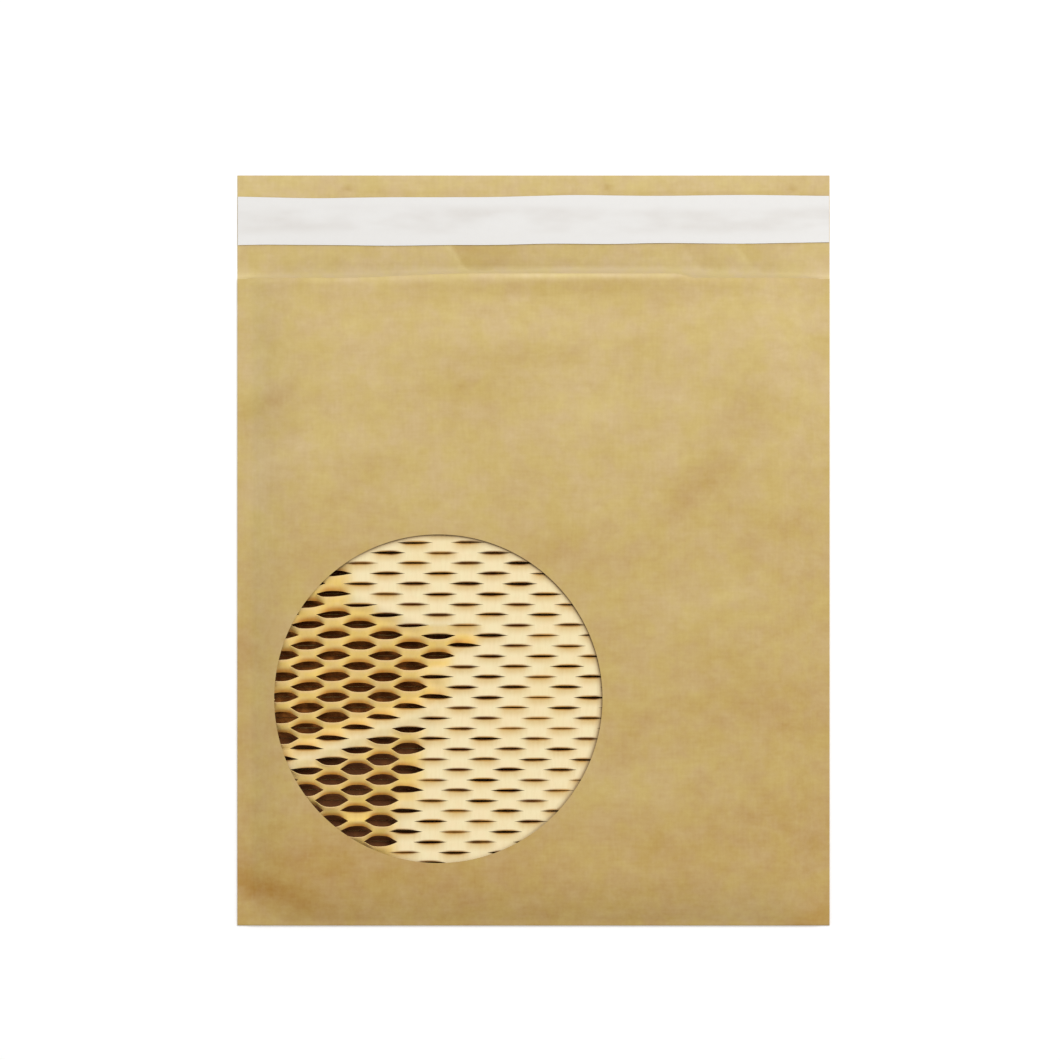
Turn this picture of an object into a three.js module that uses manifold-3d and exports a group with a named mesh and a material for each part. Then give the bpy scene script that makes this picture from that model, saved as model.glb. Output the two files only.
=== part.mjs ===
// A padded paper envelope that lies flat with its flap open, in millimetres, +Z up.
// The origin is on the underside at the middle of the outline. X runs across and +Y runs towards the flap.
import * as THREE from "three";
import { mergeVertices } from "three/addons/utils/BufferGeometryUtils.js";
import Module from "manifold-3d";

const wasm = await Module();
wasm.setup();

// Outer sheet: flap, back panel, fold at the foot and front panel in one piece
const WIDTH = 230;
const BODY_LENGTH = 251.3;
const FLAP_LENGTH = 40;
const KRAFT_THICKNESS = 0.4;
const BODY_HEIGHT = 9;
const MOUTH_HEIGHT = 7;

// How the front panel rises from its seams and its fold, and sinks again towards the mouth
const SIDE_RUN = 24;
const FOOT_RUN = 24;
const MOUTH_RUN = 30;
const PILLOW_POWER = 2.2;

// Glued side seams
const SEAM_WIDTH = 6;
const SEAM_GLUE_THICKNESS = 0.3;
const SEAM_GLUE_MARGIN = 0.6;
const SEAM_GLUE_END = 3;

// Round window in the front panel
const WINDOW_DIAMETER = 127.2;
const WINDOW_FROM_LEFT = 78.1;
const WINDOW_FROM_FOOT = 88.3;

// Padding paper: rows of slits that stretch into honeycomb cells
const LINER_THICKNESS = 0.4;
const LINER_SIDE_INSET = 4;
const LINER_FOOT_INSET = 6;
const LINER_MOUTH_INSET = 4;
const SLIT_LENGTH = 12.4;
const SLIT_LAND = 7.6;
const SLIT_ROW_SPACING = 4;
const SLIT_SHOULDER = 3.5;
const SLIT_ROW_LEAN = 0.045;
const SLIT_FIRST_ROW_BELOW_TOP = 3.1;
const SLIT_FIRST_SHIFT = 9;
const GAP_RIM_MARGIN = 9.2;
const RIDGE_REACH = 4;
const FLAT_REACH = 8;

// A nearly closed slit and a fully stretched one: half the gap, and how far each lip lifts or sinks
const CLOSED_HALF_GAP = 0.3;
const CLOSED_LIFT = 0.7;
const OPEN_HALF_GAP = 2.2;
const OPEN_LIFT = 2;

// The stretched part of the window, from the window's middle, and the flat band that crosses it
const STRETCH_RIGHT = -1.5;
const STRETCH_RIGHT_SLOPE = 0.3;
const STRETCH_TOP = 24;
const STRETCH_TOP_SLOPE = -0.42;
const STRETCH_BLEND = 3;
const BAND_RISE = -2.4;
const BAND_SLOPE = 0.39;
const BAND_HALF_WIDTH = 2.5;

// Adhesive band on the flap, and the release strip that covers it
const STRIP_WIDTH = 18.6;
const STRIP_FROM_FLAP_EDGE = 8;
const STRIP_SIDE_MARGIN = 0.2;
const STRIP_THICKNESS = 0.15;
const STRIP_SLANT = 0.004;
const ADHESIVE_MARGIN = 1.6;
const ADHESIVE_THICKNESS = 0.15;

// Clearance between two pieces that touch
const CLEARANCE = 0.3;

// Facets
const RUN_STEPS = 7;
const MOUTH_STEPS = 5;
const FOLD_STEPS = 6;
const WINDOW_SEGMENTS = 96;

const halfWidth = WIDTH / 2;
const halfLength = (BODY_LENGTH + FLAP_LENGTH) / 2;
const mouthY = halfLength - FLAP_LENGTH;
const seamLevel = KRAFT_THICKNESS + SEAM_GLUE_THICKNESS + 2 * CLEARANCE;
const foldRadius = (seamLevel + KRAFT_THICKNESS) / 2;
const foldY = -halfLength + foldRadius;
const seamX = halfWidth - SEAM_WIDTH;
const windowX = -halfWidth + WINDOW_FROM_LEFT;
const windowY = -halfLength + WINDOW_FROM_FOOT;
const windowRadius = WINDOW_DIAMETER / 2;
const backLinerBase = KRAFT_THICKNESS + CLEARANCE;
const backLinerTop = backLinerBase + LINER_THICKNESS;
const linerHalfWidth = seamX - LINER_SIDE_INSET;
const linerFootY = foldY + LINER_FOOT_INSET;
const linerMouthY = mouthY - LINER_MOUTH_INSET;

const smooth = THREE.MathUtils.smoothstep;

// The pillow profile: 0 at the seam or fold, 1 once it is a full run away
function pillow(distance, run) {
  const share = THREE.MathUtils.clamp(distance / run, 0, 1);
  return 1 - (1 - share) ** PILLOW_POWER;
}

// Height of the front panel's underside above the surface that the envelope lies on
function frontUnderside(x, y) {
  const towardsMouth = smooth(y, mouthY - MOUTH_RUN, mouthY);
  const crown = THREE.MathUtils.lerp(BODY_HEIGHT, MOUTH_HEIGHT, towardsMouth) - KRAFT_THICKNESS;
  const rise = pillow(seamX - Math.abs(x), SIDE_RUN) * pillow(y - foldY, FOOT_RUN);
  return seamLevel + (crown - seamLevel) * rise;
}

// Evenly spaced stations from one value to another, the last one left out
function stations(from, to, steps) {
  return Array.from({ length: steps }, (_, i) => from + ((to - from) * i) / steps);
}

// Stations across a sheet whose front follows the pillow profile, out to an edge
function columnsTo(edge) {
  const plateau = seamX - SIDE_RUN;
  const left = stations(-Math.min(edge, seamX), -plateau, RUN_STEPS);
  const right = left.map((x) => -x).reverse();
  const columns = [...left, -plateau, 0, plateau, ...right];
  return edge > seamX ? [-edge, ...columns, edge] : columns;
}

// Stations along the front panel between its fold and its mouth
function rowsBetween(foot, mouth) {
  const footRise = stations(foot, foldY + FOOT_RUN, RUN_STEPS);
  const fall = stations(mouthY - MOUTH_RUN, mouth, MOUTH_STEPS);
  return [...footRise, foldY + FOOT_RUN, ...fall, mouth];
}

// A sheet made from a box: each corner of the box's lattice goes where place(column, row, side) puts it
function sheetOf(columns, rows, place) {
  const across = columns.length - 1;
  const along = rows.length - 1;
  const sheet = new THREE.BoxGeometry(across, along, 1, across, along, 1);
  const spots = sheet.attributes.position;
  for (let i = 0; i < spots.count; i += 1) {
    const column = columns[Math.round(spots.getX(i) + across / 2)];
    const row = rows[Math.round(spots.getY(i) + along / 2)];
    spots.setXYZ(i, ...place(column, row, spots.getZ(i) + 0.5));
  }
  return sheet;
}

// A geometry as a solid that can be joined and cut, and a solid back as a geometry
function solidOf(geometry) {
  const bare = geometry.clone();
  bare.deleteAttribute("normal");
  bare.deleteAttribute("uv");
  const merged = mergeVertices(bare, 1e-4);
  const vertProperties = merged.attributes.position.array;
  const triVerts = new Uint32Array(merged.index.array);
  return new wasm.Manifold(new wasm.Mesh({ numProp: 3, vertProperties, triVerts }));
}

function geometryOf(solid) {
  const mesh = solid.getMesh();
  const geometry = new THREE.BufferGeometry();
  geometry.setAttribute("position", new THREE.BufferAttribute(mesh.vertProperties, 3));
  geometry.setIndex(new THREE.BufferAttribute(mesh.triVerts, 1));
  const faceted = geometry.toNonIndexed();
  faceted.computeVertexNormals();
  return faceted;
}

// The outer sheet runs from the mouth down the front, round the fold and along the back to the flap's edge
function outerSheet() {
  const front = rowsBetween(foldY, mouthY).reverse();
  const fold = stations(1, 0, FOLD_STEPS).slice(1);
  const path = [
    ...front.map((y) => ({ panel: "front", y })),
    ...fold.map((turn) => ({ panel: "fold", turn })),
    ...[foldY, mouthY, halfLength].map((y) => ({ panel: "back", y })),
  ];
  const place = (x, step, inside) => {
    if (step.panel === "front") {
      return [x, step.y, frontUnderside(x, step.y) + (1 - inside) * KRAFT_THICKNESS];
    }
    if (step.panel === "back") {
      return [x, step.y, inside * KRAFT_THICKNESS];
    }
    const radius = foldRadius - inside * KRAFT_THICKNESS;
    const angle = Math.PI * step.turn;
    return [x, foldY - radius * Math.sin(angle), foldRadius - radius * Math.cos(angle)];
  };
  const sheet = sheetOf(columnsTo(halfWidth), path, place);
  const punchHeight = BODY_HEIGHT + CLEARANCE - seamLevel;
  const punch = new THREE.CylinderGeometry(windowRadius, windowRadius, punchHeight, WINDOW_SEGMENTS);
  punch.rotateX(Math.PI / 2);
  punch.translate(windowX, windowY, seamLevel + punchHeight / 2);
  return geometryOf(solidOf(sheet).subtract(solidOf(punch)));
}

// How far the padding is stretched at a point: 0 is nearly closed, 1 is fully open
function stretch(x, y) {
  const across = x - windowX;
  const up = y - windowY;
  const fromRight = STRETCH_RIGHT + STRETCH_RIGHT_SLOPE * up - across;
  const fromTop = STRETCH_TOP + STRETCH_TOP_SLOPE * across - up;
  const fromBand = Math.abs(up - BAND_RISE - BAND_SLOPE * across) - BAND_HALF_WIDTH;
  return smooth(Math.min(fromRight, fromTop, fromBand), 0, STRETCH_BLEND);
}

// How far a lip may lift or sink at a point: nothing away from the window, and no more than there is room for
function liftAt(x, y, openness) {
  const near = 1 - smooth(windowReach(x, y), RIDGE_REACH, FLAT_REACH);
  const wanted = near * THREE.MathUtils.lerp(CLOSED_LIFT, OPEN_LIFT, openness);
  const room = frontUnderside(x, y) - backLinerTop - 2 * CLEARANCE - LINER_THICKNESS;
  return Math.min(wanted, room / 2);
}

// A point of the padding's upper face. Side is 1 on a slit's upper lip and -1 on its lower lip, which part
// where there is a gap, each as far as its own land is stretched. The upper lip is the higher one where the
// slit is nearly closed, and the lower lip where it is stretched. A ridge is a slit that stays shut, raised.
function linerPoint(x, y, kind, side) {
  const openness = stretch(x, kind === "gap" ? y + (side * SLIT_ROW_SPACING) / 2 : y);
  const halfGap = THREE.MathUtils.lerp(CLOSED_HALF_GAP, OPEN_HALF_GAP, openness);
  const lipY = kind === "gap" ? y + side * halfGap : y;
  const rise = { gap: side * (1 - 2 * openness), ridge: 1, tip: 0, plain: 0 }[kind];
  const lift = liftAt(x, lipY, openness);
  return new THREE.Vector3(x, lipY, frontUnderside(x, lipY) - CLEARANCE + (rise - 1) * lift);
}

// How far a point lies outside the window's rim, less than 0 inside it
function windowReach(x, y) {
  return Math.hypot(x - windowX, y - windowY) - windowRadius;
}

// The middles of the slits in one row that the window shows or nearly shows. Each row is half a pitch along.
function slitMiddles(y, rowNumber) {
  const pitch = SLIT_LENGTH + SLIT_LAND;
  const stagger = (Math.abs(rowNumber) % 2) * (pitch / 2);
  const start = windowX + SLIT_FIRST_SHIFT + stagger + SLIT_ROW_LEAN * (y - windowY);
  const most = Math.ceil(WIDTH / pitch);
  const middles = Array.from({ length: 2 * most + 1 }, (_, i) => start + (i - most) * pitch);
  const fits = (middle) => Math.abs(middle) + SLIT_LENGTH / 2 < linerHalfWidth - LINER_THICKNESS;
  return middles.filter((middle) => fits(middle) && windowReach(middle, y) < RIDGE_REACH);
}

// One row of the padding: its points across the sheet, slits included
function linerRow(y, rowNumber) {
  const tip = SLIT_LENGTH / 2;
  const shoulder = tip - SLIT_SHOULDER;
  const middles = rowNumber === null ? [] : slitMiddles(y, rowNumber);
  const slits = middles.flatMap((middle) => {
    const kind = windowReach(middle, y) < -GAP_RIM_MARGIN ? "gap" : "ridge";
    return [
      { x: middle - tip, kind: "tip" },
      { x: middle - shoulder, kind },
      { x: middle + shoulder, kind },
      { x: middle + tip, kind: "tip" },
    ];
  });
  const clear = (x) => middles.every((middle) => Math.abs(x - middle) > tip + LINER_THICKNESS);
  const plain = columnsTo(linerHalfWidth).filter(clear).map((x) => ({ x, kind: "plain" }));
  const points = [...plain, ...slits].sort((a, b) => a.x - b.x);
  return {
    above: points.map((p) => linerPoint(p.x, y, p.kind, 1)),
    below: points.map((p) => linerPoint(p.x, y, p.kind, -1)),
    split: points.map((p) => p.kind === "gap"),
  };
}

// Rows along the padding: slit rows until they are past the window and flat again, and plain ones beyond.
// Slit rows are numbered down from the first that the window shows.
function linerRows() {
  const firstY = windowY + windowRadius - SLIT_FIRST_ROW_BELOW_TOP;
  const reach = windowRadius + FLAT_REACH;
  const before = Math.ceil((windowY + reach - firstY) / SLIT_ROW_SPACING);
  const after = Math.ceil((firstY - windowY + reach) / SLIT_ROW_SPACING);
  const numbers = Array.from({ length: before + after + 1 }, (_, i) => i - before);
  const half = SLIT_ROW_SPACING / 2;
  const fits = (row) => row.y > linerFootY + half && row.y < linerMouthY - half;
  const slitRows = numbers.map((number) => ({ y: firstY - number * SLIT_ROW_SPACING, number })).filter(fits);
  const plain = rowsBetween(linerFootY, linerMouthY).map((y) => ({ y, number: null }));
  const highest = slitRows[0].y + half;
  const lowest = slitRows.at(-1).y - half;
  const beyond = plain.filter((row) => row.y > highest || row.y < lowest);
  return [...beyond, ...slitRows].sort((a, b) => a.y - b.y).map((row) => linerRow(row.y, row.number));
}

// The front padding, zipped together from its rows
function frontLiner() {
  const rows = linerRows();
  const corners = [];
  const lowered = (point) => point.clone().setZ(point.z - LINER_THICKNESS);
  const triangle = (a, b, c) => corners.push(...a.toArray(), ...b.toArray(), ...c.toArray());
  const bothFaces = (a, b, c) => {
    triangle(a, b, c);
    triangle(lowered(a), lowered(c), lowered(b));
  };
  const wall = (from, to) => {
    triangle(to, from, lowered(from));
    triangle(to, lowered(from), lowered(to));
  };
  const strip = (lower, upper) => {
    let i = 0;
    let j = 0;
    while (i < lower.length - 1 || j < upper.length - 1) {
      const upperDone = j === upper.length - 1;
      const lowerDone = i === lower.length - 1;
      if (upperDone || (!lowerDone && lower[i + 1].x <= upper[j + 1].x)) {
        bothFaces(lower[i], lower[i + 1], upper[j]);
        i += 1;
      } else {
        bothFaces(lower[i], upper[j + 1], upper[j]);
        j += 1;
      }
    }
    wall(upper[0], lower[0]);
    wall(lower.at(-1), upper.at(-1));
  };
  rows.forEach((row, number) => {
    if (number > 0) {
      strip(rows[number - 1].above, row.below);
    }
    for (let i = 0; i < row.split.length - 1; i += 1) {
      const split = row.split[i] || row.split[i + 1];
      if (split || number === 0) {
        wall(row.above[i], row.above[i + 1]);
      }
      if (split || number === rows.length - 1) {
        wall(row.below[i + 1], row.below[i]);
      }
    }
  });
  const geometry = new THREE.BufferGeometry();
  geometry.setAttribute("position", new THREE.Float32BufferAttribute(corners, 3));
  geometry.computeVertexNormals();
  return geometry;
}

const envelope = new THREE.Group();

function addPiece(name, geometry, colour, roughness) {
  const material = new THREE.MeshStandardMaterial({ color: colour, roughness, metalness: 0 });
  const piece = new THREE.Mesh(geometry, material);
  piece.name = name;
  envelope.add(piece);
  return piece;
}

addPiece("outer_sheet", outerSheet(), 0xc9ab73, 0.85);
addPiece("front_liner", frontLiner(), 0xecdbb0, 0.9);

// The back padding lies flat on the back panel
const backLinerLength = linerMouthY - linerFootY;
const backLiner = new THREE.BoxGeometry(2 * linerHalfWidth, backLinerLength, LINER_THICKNESS);
addPiece("back_liner", backLiner, 0x7d5a35, 0.9).position.set(
  0,
  (linerMouthY + linerFootY) / 2,
  backLinerBase + LINER_THICKNESS / 2,
);

// A glue line in each side seam, between the back panel and the front panel
const glueWidth = SEAM_WIDTH - 2 * SEAM_GLUE_MARGIN;
const glueFoot = foldY + SEAM_GLUE_END;
const glueLength = mouthY - SEAM_GLUE_END - glueFoot;
for (const [name, side] of [["left_seam_glue", -1], ["right_seam_glue", 1]]) {
  const glue = new THREE.BoxGeometry(glueWidth, glueLength, SEAM_GLUE_THICKNESS);
  addPiece(name, glue, 0xd9c79b, 0.5).position.set(
    side * (halfWidth - SEAM_WIDTH / 2),
    glueFoot + glueLength / 2,
    KRAFT_THICKNESS + CLEARANCE + SEAM_GLUE_THICKNESS / 2,
  );
}

// The adhesive band lies on the flap, and the release strip lies on the band
const stripY = halfLength - STRIP_FROM_FLAP_EDGE - STRIP_WIDTH / 2;
const stripLength = WIDTH - 2 * STRIP_SIDE_MARGIN;
const adhesiveLevel = KRAFT_THICKNESS + CLEARANCE + ADHESIVE_THICKNESS / 2;
const adhesive = new THREE.BoxGeometry(
  stripLength - 2 * ADHESIVE_MARGIN,
  STRIP_WIDTH - 2 * ADHESIVE_MARGIN,
  ADHESIVE_THICKNESS,
);
const flapAdhesive = addPiece("flap_adhesive", adhesive, 0xe4ddc2, 0.35);
flapAdhesive.position.set(0, stripY, adhesiveLevel);
flapAdhesive.rotation.z = STRIP_SLANT;

const stripLevel = adhesiveLevel + ADHESIVE_THICKNESS / 2 + CLEARANCE + STRIP_THICKNESS / 2;
const strip = new THREE.BoxGeometry(stripLength, STRIP_WIDTH, STRIP_THICKNESS);
const releaseStrip = addPiece("release_strip", strip, 0xf1eeea, 0.4);
releaseStrip.position.set(0, stripY, stripLevel);
releaseStrip.rotation.z = STRIP_SLANT;

export default envelope;
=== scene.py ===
import math
import random

import bmesh
import bpy
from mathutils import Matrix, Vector, noise


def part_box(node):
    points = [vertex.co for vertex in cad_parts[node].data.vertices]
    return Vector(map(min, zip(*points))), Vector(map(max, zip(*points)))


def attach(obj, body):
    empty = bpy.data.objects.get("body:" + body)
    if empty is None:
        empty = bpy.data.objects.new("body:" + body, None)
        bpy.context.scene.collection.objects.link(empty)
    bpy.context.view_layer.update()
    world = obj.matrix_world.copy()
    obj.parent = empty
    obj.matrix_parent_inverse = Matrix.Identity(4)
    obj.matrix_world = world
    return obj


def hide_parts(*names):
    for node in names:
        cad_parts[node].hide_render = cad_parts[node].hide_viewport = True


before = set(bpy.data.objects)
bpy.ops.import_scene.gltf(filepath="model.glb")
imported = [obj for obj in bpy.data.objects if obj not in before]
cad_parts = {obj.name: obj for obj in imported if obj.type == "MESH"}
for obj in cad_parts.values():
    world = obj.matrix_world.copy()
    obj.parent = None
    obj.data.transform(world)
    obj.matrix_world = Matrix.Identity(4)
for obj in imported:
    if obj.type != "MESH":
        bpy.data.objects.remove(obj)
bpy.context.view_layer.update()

# Everything is in metres. The envelope lies flat, +Y towards the flap and +Z up out of the window.
MM = 0.001
NEAR = 0.01 * MM
sheet_low, sheet_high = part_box("outer_sheet")
liner_low, liner_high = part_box("front_liner")
back_low, back_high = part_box("back_liner")
strip_low, strip_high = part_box("release_strip")
adhesive_low, adhesive_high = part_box("flap_adhesive")

# The outer sheet
HALF_WIDTH = sheet_high.x
FLAP_EDGE_Y = sheet_high.y
FLAP_LENGTH = 40 * MM
MOUTH_Y = FLAP_EDGE_Y - FLAP_LENGTH
CROWN_HEIGHT = sheet_high.z
MOUTH_HEIGHT = 7 * MM
SHEET_STEP = 0.4 * MM
PAPER_THICKNESS = 0.3 * MM
SEAM_LEVEL = 1.3 * MM
PINCHED_SEAM_LEVEL = 0.6 * MM
FOLD_RADIUS = (SEAM_LEVEL + SHEET_STEP) / 2
FOLD_Y = sheet_low.y + FOLD_RADIUS
SEAM_X = HALF_WIDTH - 6 * MM
SEAM_PINCH = 0.42
PINCH_FADE = (SEAM_X - 1.5 * MM, HALF_WIDTH - 1 * MM)
RISE_RUN = 24 * MM
MOUTH_RUN = 30 * MM
PILLOW_POWER = 2.2
DENT_DEPTH = 0.5 * MM
FLAP_WAVE = 0.3 * MM
FLAP_WAVE_RUN = 12 * MM

# The front panel's edge at the mouth, in millimetres: it rises a little and then bends down again
CURL_MIDDLE = 12
CURL_SPREAD = 62
CURL_LENGTH = 8
CURL_RISE = 0.5
CURL_AT_SIDES = 0.3
EDGE_LENGTH = 2.2
EDGE_DROP = 0.6

# The middle of that edge lies a little farther over the flap, between two fades along X
LIP_REACH = 1.7 * MM
LIP_LENGTH = 8 * MM
LIP_LEFT_FADE = (-75 * MM, -25 * MM)
LIP_RIGHT_FADE = (63 * MM, 55 * MM)

# The round window, and the punch that cuts the front panel and not the back one
WINDOW = Vector((-36.9 * MM, -57.35 * MM, 0))
WINDOW_RADIUS = 63.6 * MM
PUNCH_LENGTH = 10 * MM
PUNCH_MIDDLE = 7.2 * MM

# The slit padding. Rows stand 4 mm apart and the slits of a row 20 mm, each row half a step beside the last.
PADDING_THICKNESS = 0.2 * MM
PADDING_DROP = 0.25 * MM
PADDING_WAVE = 0.12 * MM
PADDING_GAP = 0.4 * MM
BACK_PADDING_ROOM = 0.7 * MM
PITCH = 20 * MM
ROW_SPACING = 4 * MM
SLIT_HALF = 6.9 * MM
GRID_STEP = 1.25 * MM
GRID_ROW = 2 * MM
GRID_ROW_SLACK = 0.05
FINE_REACH = 2 * MM
FIRST_ROW_Y = WINDOW.y + 60.5 * MM
FIRST_MIDDLE = -27.5 * MM
MIDDLE_OFFSET = -0.4 * MM
COLUMN_LEAN = 0.045
LEAN_GROWTH = 0.6
LEAN_START = -28 * MM
END_MARGIN = 3 * MM
TIP_MARGIN = 0.05 * MM
ON_ROW = 0.01
# The tints are painted light and shade at the slits: a highlight on an open slit's raised lower lip, shade
# over its sunk upper lip, the shadow inside a shut slit drawn on both its lips, and the shadow just below a
# shut slit.
TINTS = ("lip_highlight", "shade", "line", "tan_shadow")

# A lip's peak moves towards the more stretched side, and to one side in the window's upper left
PEAK_SKEW = 2.2 * MM
PEAK_PULL = 1.4 * MM
PULL_LEFT_FADE = (68 * MM, 80 * MM)
PULL_FOOT_FADE = (-66 * MM, -52 * MM)

# One lip hangs as a pale tongue: its row, its number in the row and its side of the slit
PALE_TONGUE = (26, -2, -1)
TONGUE_OPENNESS = 0.15

# The strips on the flap and the lines of glue at the seams, with the heights of their top faces
STRIP_COLUMNS = 160
STRIP_ROWS = 12
STRIP_SLANT = 0.004
STRIP_UNEVENNESS = 0.07 * MM
STRIP_SAG_MIDDLE = -55
STRIP_SAG_SPREAD = 32
RELEASE_HEIGHT = 0.9 * MM
RELEASE_THICKNESS = 0.12 * MM
RELEASE_WAVE = 1 * MM
ADHESIVE_HEIGHT = 0.68 * MM
ADHESIVE_THICKNESS = 0.2 * MM
ADHESIVE_WAVE = 0.4 * MM
GLUE_HEIGHT = 0.6 * MM
GLUE_SAG = 0.05 * MM
GLUE_THICKNESS = 0.26 * MM


def clamp(value, low=0.0, high=1.0):
    return max(low, min(high, value))


def smooth(value, low, high):
    share = clamp((value - low) / (high - low))
    return share * share * (3 - 2 * share)


def mix(first, second, share):
    return first + (second - first) * share


def pillow(distance, run):
    """0 at a seam or fold, 1 a full run away from it"""
    return 1 - (1 - clamp(distance / run)) ** PILLOW_POWER


def front_underside(x, y):
    """Height of the front panel's underside"""
    crown = mix(CROWN_HEIGHT, MOUTH_HEIGHT, smooth(y, MOUTH_Y - MOUTH_RUN, MOUTH_Y)) - SHEET_STEP
    rise = pillow(SEAM_X - abs(x), RISE_RUN) * pillow(y - FOLD_Y, RISE_RUN)
    return SEAM_LEVEL + (crown - SEAM_LEVEL) * rise


def soft_spot(x, y, spot):
    """How strongly a soft oval patch shows at a point. Sizes are in millimetres, the turn in degrees."""
    middle_x, middle_y, long, wide, turn, strength = spot
    angle = math.radians(turn)
    across = x / MM - middle_x
    up = y / MM - middle_y
    along = (across * math.cos(angle) + up * math.sin(angle)) / long
    beside = (up * math.cos(angle) - across * math.sin(angle)) / wide
    return strength * math.exp(-along * along - beside * beside)


def deselect_all():
    bpy.ops.object.select_all(action="DESELECT")


def paper_grid(name, columns, rows, low_x, high_x, low_y, high_y, height):
    """A flat sheet of quads between two corners"""
    deselect_all()
    middle = ((low_x + high_x) / 2, (low_y + high_y) / 2, height)
    bpy.ops.mesh.primitive_grid_add(x_subdivisions=columns, y_subdivisions=rows, size=1, location=middle)
    bpy.ops.transform.resize(value=(high_x - low_x, high_y - low_y, 1))
    bpy.ops.object.transform_apply(location=True, rotation=True, scale=True)
    sheet = bpy.context.object
    sheet.name = name
    sheet.data.name = name
    return sheet


def apply_modifier(piece, kind, **settings):
    deselect_all()
    piece.select_set(True)
    bpy.context.view_layer.objects.active = piece
    modifier = piece.modifiers.new(kind.title(), kind)
    for setting, value in settings.items():
        setattr(modifier, setting, value)
    bpy.ops.object.modifier_apply(modifier=modifier.name)


def give_thickness(sheet, thickness):
    """Turns an open sheet into paper, with its faces' side as the outside"""
    apply_modifier(sheet, "SOLIDIFY", thickness=thickness, offset=-1, use_even_offset=True)


def smooth_shading(piece, angle):
    deselect_all()
    piece.select_set(True)
    bpy.context.view_layer.objects.active = piece
    bpy.ops.object.shade_smooth_by_angle(angle=math.radians(angle))


def face_up(sheet, place):
    """Turns an open sheet's faces so that the one nearest to a point looks up"""
    nearest = min(sheet.data.polygons, key=lambda face: (face.center - place).length)
    if nearest.normal.z < 0:
        sheet.data.flip_normals()


def write_attribute(piece, name, values):
    attribute = piece.data.attributes.new(name, "FLOAT", "POINT")
    attribute.data.foreach_set("value", values)


# Kraft tone: 0 is the darkest brown that the paper shows and 1 the palest. First by Y in millimetres: darker
# towards the foot and paler on the flap, partly the paper's own colour and partly painted shade for light
# falling from the flap's end.
TONE_AND_SHADE_ALONG_Y = [
    (-146, 0.36),
    (-120, 0.36),
    (-90, 0.43),
    (-50, 0.42),
    (-20, 0.47),
    (15, 0.515),
    (45, 0.56),
    (60, 0.585),
    (105, 0.6),
    (130, 0.66),
    (146, 0.73),
]

# Paler and darker patches, as soft_spot reads them, in three lists: on every panel, on the front panel, and
# on the flap and the back panel.
# Painted shade and light of the panels' shallow dents and slopes: the darker spots are painted shade in
# dents and on slopes, the paler ones painted light.
SHADING_SPOTS = [
    (5, 75, 22, 6, 0, -0.12),
    (-24, 62, 16, 6, 0, -0.12),
    (-103, 58, 20, 4.5, 32, -0.12),
    (81, 55, 9, 8, 0, -0.11),
    (64, 26, 22, 6, 45, -0.12),
    (9, 0, 14, 5, 20, -0.1),
    (100, 10, 13, 6, 0, -0.1),
    (87, -61, 20, 13, 0, -0.11),
    (95, -108, 22, 10, 0, -0.07),
    (-107, -131, 26, 6, -18, -0.24),
    (-70, -125, 60, 14, -8, -0.1),
    (110, -141, 15, 6, 30, -0.14),
    (-112, -36, 8, 13, 0, -0.1),
    (-61, 33, 32, 6, 30, -0.06),
    (-112, -75, 8, 20, 0, -0.08),
    (-30, 86, 44, 5, 0, 0.05),
    (95, 90, 26, 14, 0, 0.1),
    (23, 56, 30, 10, 10, 0.07),
    (-90, 41, 24, 6, 30, 0.05),
    (52, 41, 20, 8, 40, 0.06),
    (75, -15, 32, 10, 0, 0.04),
    (35, -92, 24, 8, 0, 0.05),
]
# A painted highlight along the lip at the front panel's edge, painted shade in the band under it, and
# painted light along the panel's left side.
FRONT_SHADING_SPOTS = [
    (16, 106.8, 52, 1.3, 0, 0.32),
    (-60, 105.4, 45, 1.8, 0, 0.16),
    (14, 102, 58, 3.6, 0, -0.16),
    (-107, 20, 3.5, 150, 0, 0.09),
]
# Painted light on the flap and back panel near the mouth, lifting the shade that the front panel's edge
# throws there, and small dark specks and streaks near the flap's top.
FLAP_LIGHT_AND_SPECK_SPOTS = [
    (-90, 105.6, 60, 1.3, 0, 0.7),
    (90, 105.6, 40, 1.3, 0, 0.8),
    (14, 108.4, 60, 1.5, 0, 0.5),
    (0, 107.5, 150, 2.2, 0, 0.22),
    (0, 112, 150, 5, 0, 0.08),
    (-72, 140.8, 2.2, 1.1, 0, -0.3),
    (29, 141, 1.6, 1.2, 0, -0.24),
    (101, 140.6, 1.8, 1.2, 0, -0.3),
    (-40, 139.2, 26, 0.9, 0, -0.1),
    (66, 139, 30, 0.9, 0, -0.1),
]

# Painted shade on the facets beside the flap's creases, and a painted highlight on the ridge beside each: a
# crease's two ends in millimetres, how the tone changes on its right, and how far that reaches. They fade
# out at their foot and top.
FACET_FOOT_FADE = (106.5 * MM, 108.5 * MM)
FACET_TOP_FADE = (122 * MM, 119 * MM)
FLAP_FACET_SHADES = [
    (-32, 118.5, -25, 108, -0.2, 30),
    (58, 119, 66, 108, -0.09, 9),
    (79, 119, 88, 108, -0.1, 10),
]

# Shallow dents of the front panel. A spot above 0 only makes the dents around it shallower.
RELIEF_SPOTS = [
    (5, 75, 24, 7, 0, -0.25),
    (-24, 62, 17, 7, 0, -0.25),
    (-95, 60, 22, 6, 32, -0.3),
    (81, 55, 10, 9, 0, -0.3),
    (64, 26, 24, 7, 45, -0.3),
    (95, 85, 26, 14, 0, 0.3),
    (20, 52, 34, 12, 10, 0.25),
    (87, -61, 22, 14, 0, -0.25),
    (60, -95, 30, 14, 20, 0.25),
    (-90, -120, 26, 8, -18, -0.3),
]

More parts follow.
